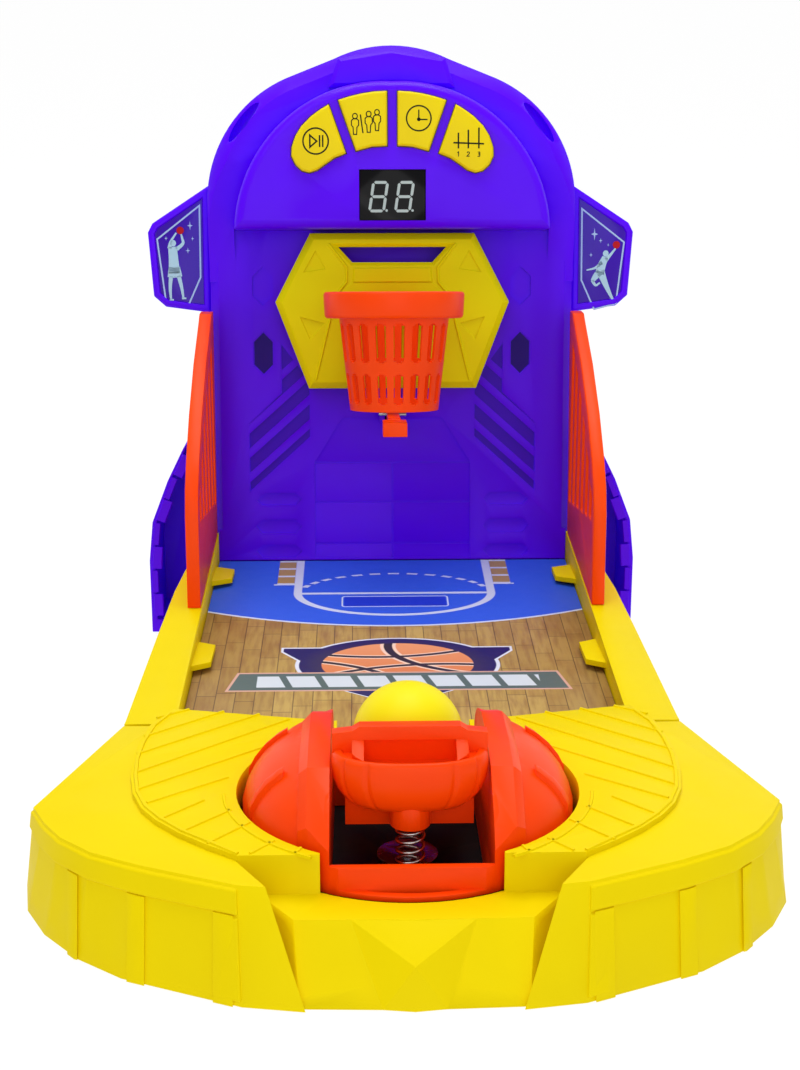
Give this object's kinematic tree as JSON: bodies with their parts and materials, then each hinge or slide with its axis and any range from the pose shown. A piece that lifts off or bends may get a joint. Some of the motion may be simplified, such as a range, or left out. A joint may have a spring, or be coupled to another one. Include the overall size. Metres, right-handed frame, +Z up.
{
  "type": "basketball hoop machine",
  "caption": "Table-top basketball game: sloping court, turntable launcher with a sprung pad, side nets, and a leaning tower with hoop, display and keys.",
  "frame": {"origin": "middle of the footprint, on the surface the toy stands on", "axes": "+X to the player's right, +Y from the player to the tower, +Z up"},
  "size_m": [0.274, 0.43, 0.3007],
  "materials": {
    "yellow_shell": "satin moulded",
    "yellow_board": "satin moulded",
    "yellow_button": "satin moulded with printed icons",
    "yellow_ball": "smooth",
    "orange_shell": "satin moulded",
    "orange_net": "satin moulded",
    "orange_hoop": "satin moulded",
    "purple_shell": "satin moulded",
    "purple_gloss": "glossy moulded",
    "rubber_foot": "matt",
    "steel": "plated",
    "spring_steel": "bright wire",
    "court_print": "printed board",
    "smoked_window": "smoked clear",
    "display_black": "matt",
    "board_green": "soldermask",
    "switch_black": "matt",
    "decal_print": "printed label",
    "battery_can": "sleeve"
  },
  "bodies": {
    "machine": {"base_shell": "yellow_shell", "base_bottom_cover": "yellow_shell", "rubber_feet": "rubber_foot", "base_screws": "steel", "court_board": "court_print", "turntable_washer": "steel", "turntable_screw": "steel", "net_panel_right": "orange_net", "net_panel_left": "orange_net", "tower_front": "purple_shell", "tower_back": "purple_shell", "tower_screws": "steel", "console_hood": "purple_gloss", "display_window": "smoked_window", "display_module": "display_black", "main_board": "board_green", "key_switches": "switch_black", "wing_right": "purple_shell", "wing_left": "purple_shell", "wing_decal_right": "decal_print", "wing_decal_left": "decal_print", "buttress_right": "purple_shell", "buttress_left": "purple_shell", "backboard": "yellow_board", "hoop_rim": "orange_hoop", "basket": "orange_hoop", "score_pin": "steel", "score_bracket": "purple_shell", "score_switch": "switch_black", "speaker": "switch_black", "battery_box": "switch_black", "batteries": "battery_can", "battery_contacts": "steel", "power_switch_body": "switch_black"},
    "turntable": {"turntable_dome": "orange_shell", "turntable_base": "orange_shell", "tray_screws": "steel", "lever_axle": "steel", "launch_spring": "spring_steel"},
    "lever": {"launch_lever": "orange_shell"},
    "ball": {"ball": "yellow_ball"},
    "score_arm": {"score_lever": "orange_hoop"},
    "play_key": {"button_play": "yellow_button"},
    "players_key": {"button_players": "yellow_button"},
    "timer_key": {"button_timer": "yellow_button"},
    "level_key": {"button_level": "yellow_button"},
    "power_knob": {"power_switch_knob": "switch_black"},
    "door": {"battery_door": "purple_shell"}
  },
  "joints": [
    {"name": "aim_turn", "type": "hinge", "parent": "machine", "child": "turntable", "pos_m": [0, -0.128, 0.02], "axis": [0, 0, 1], "range_deg": [-22, 22]},
    {"name": "launch_press", "type": "hinge", "parent": "turntable", "child": "lever", "pos_m": [0, -0.09, 0.03], "axis": [1, 0, 0], "range_deg": [0, 10], "stiffness_Nm_per_rad": 0.6, "springref_deg": -20.05, "deforming": ["launch_spring"]},
    {"name": "ball_lift", "type": "slide", "parent": "lever", "child": "ball", "axis": [0, 0, 1], "range_m": [0, 0.1]},
    {"name": "score_flick", "type": "hinge", "parent": "machine", "child": "score_arm", "pos_m": [0, 0.1478, 0.12028], "axis": [1, 0, 0], "range_deg": [0, 7], "stiffness_Nm_per_rad": 0.02, "springref_deg": -20.05},
    {"name": "power_slide", "type": "slide", "parent": "machine", "child": "power_knob", "axis": [1, 0, 0], "range_m": [0, 0.006]},
    {"name": "battery_door_lift", "type": "slide", "parent": "machine", "child": "door", "axis": [0, 1, 0], "range_m": [0, 0.1]},
    {"name": "play_press", "type": "slide", "parent": "machine", "child": "play_key", "axis": [0, 0.9934, -0.1149], "range_m": [0, 0.0014], "stiffness_N_per_m": 300, "springref_m": -0.0006},
    {"name": "players_press", "type": "slide", "parent": "machine", "child": "players_key", "axis": [0, 0.9934, -0.1149], "range_m": [0, 0.0014], "stiffness_N_per_m": 300, "springref_m": -0.0006},
    {"name": "timer_press", "type": "slide", "parent": "machine", "child": "timer_key", "axis": [0, 0.9934, -0.1149], "range_m": [0, 0.0014], "stiffness_N_per_m": 300, "springref_m": -0.0006},
    {"name": "level_press", "type": "slide", "parent": "machine", "child": "level_key", "axis": [0, 0.9934, -0.1149], "range_m": [0, 0.0014], "stiffness_N_per_m": 300, "springref_m": -0.0006}
  ]
}
